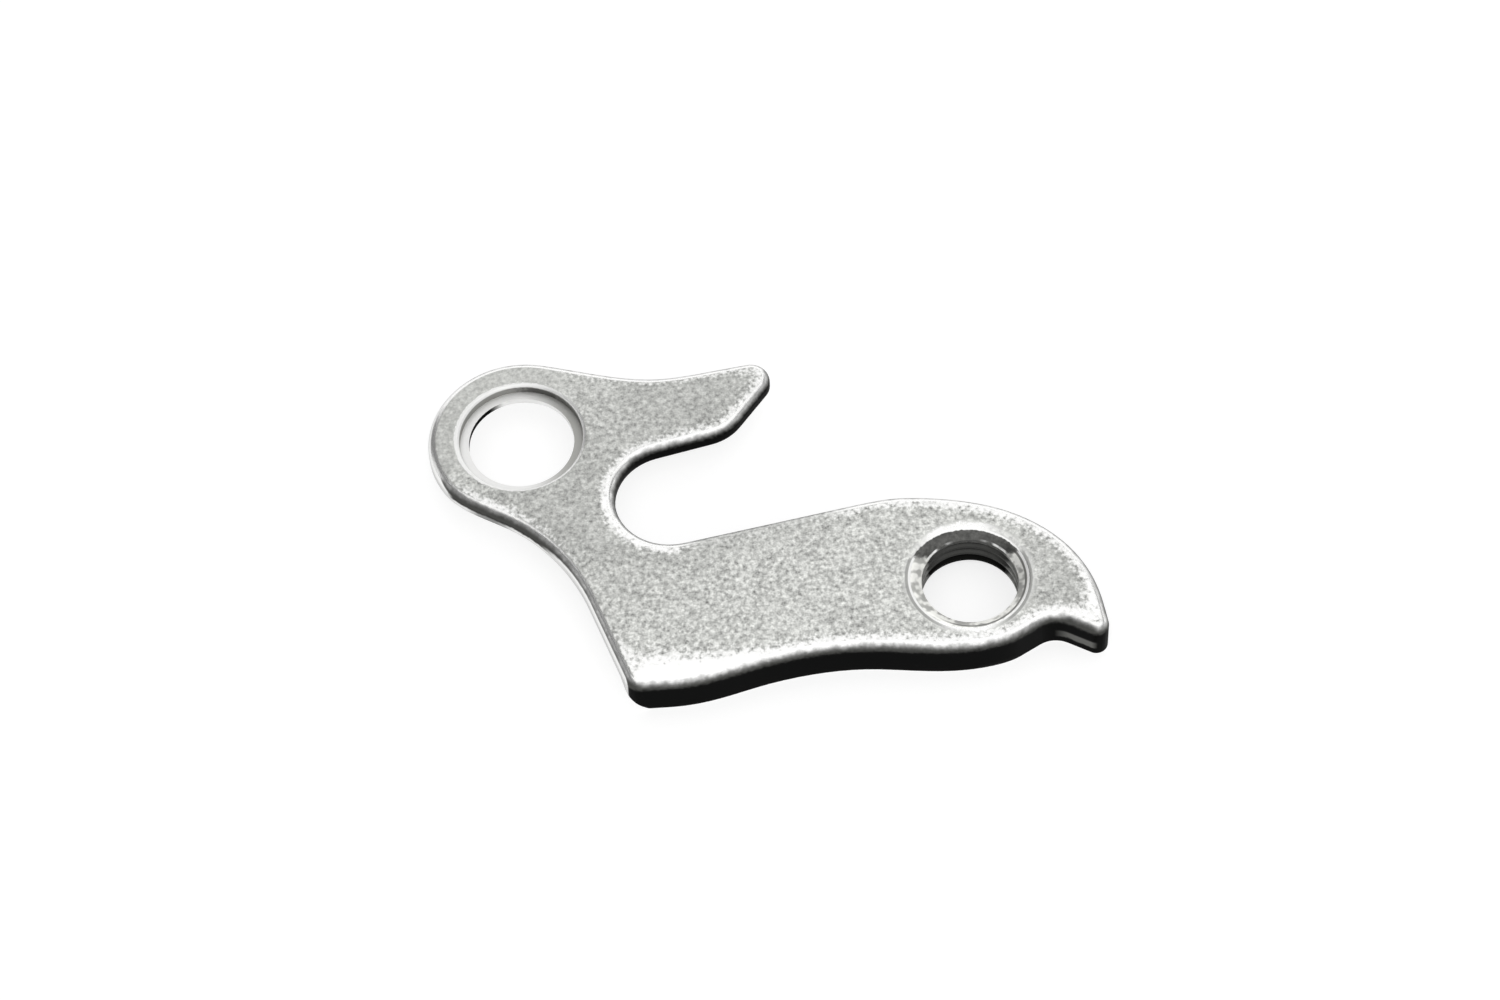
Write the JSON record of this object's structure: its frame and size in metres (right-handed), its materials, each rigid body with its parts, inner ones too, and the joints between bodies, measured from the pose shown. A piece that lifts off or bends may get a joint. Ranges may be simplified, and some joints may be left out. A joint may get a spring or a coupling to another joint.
{
  "type": "bicycle derailleur hanger",
  "caption": "Flat metal bracket that bolts to a bicycle's rear dropout, with a bolt ring, an axle slot beside a short prong, and an arm with the rear derailleur's thread and a stop nose.",
  "frame": {"origin": "where the derailleur thread's axis crosses the plane of the seat that lies on the frame's dropout", "axes": "+Z along the thread, out of the outer face; +X along the arm towards the stop nose; +Y across the arm towards the prong"},
  "size_m": [0.0624, 0.0371, 0.0046],
  "materials": {
    "tumbled_aluminium": "bare, blasted and tumbled: fine satin grain on the faces, bright rounded rims"
  },
  "bodies": {
    "root": {"derailleur_hanger": "tumbled_aluminium"}
  },
  "joints": []
}
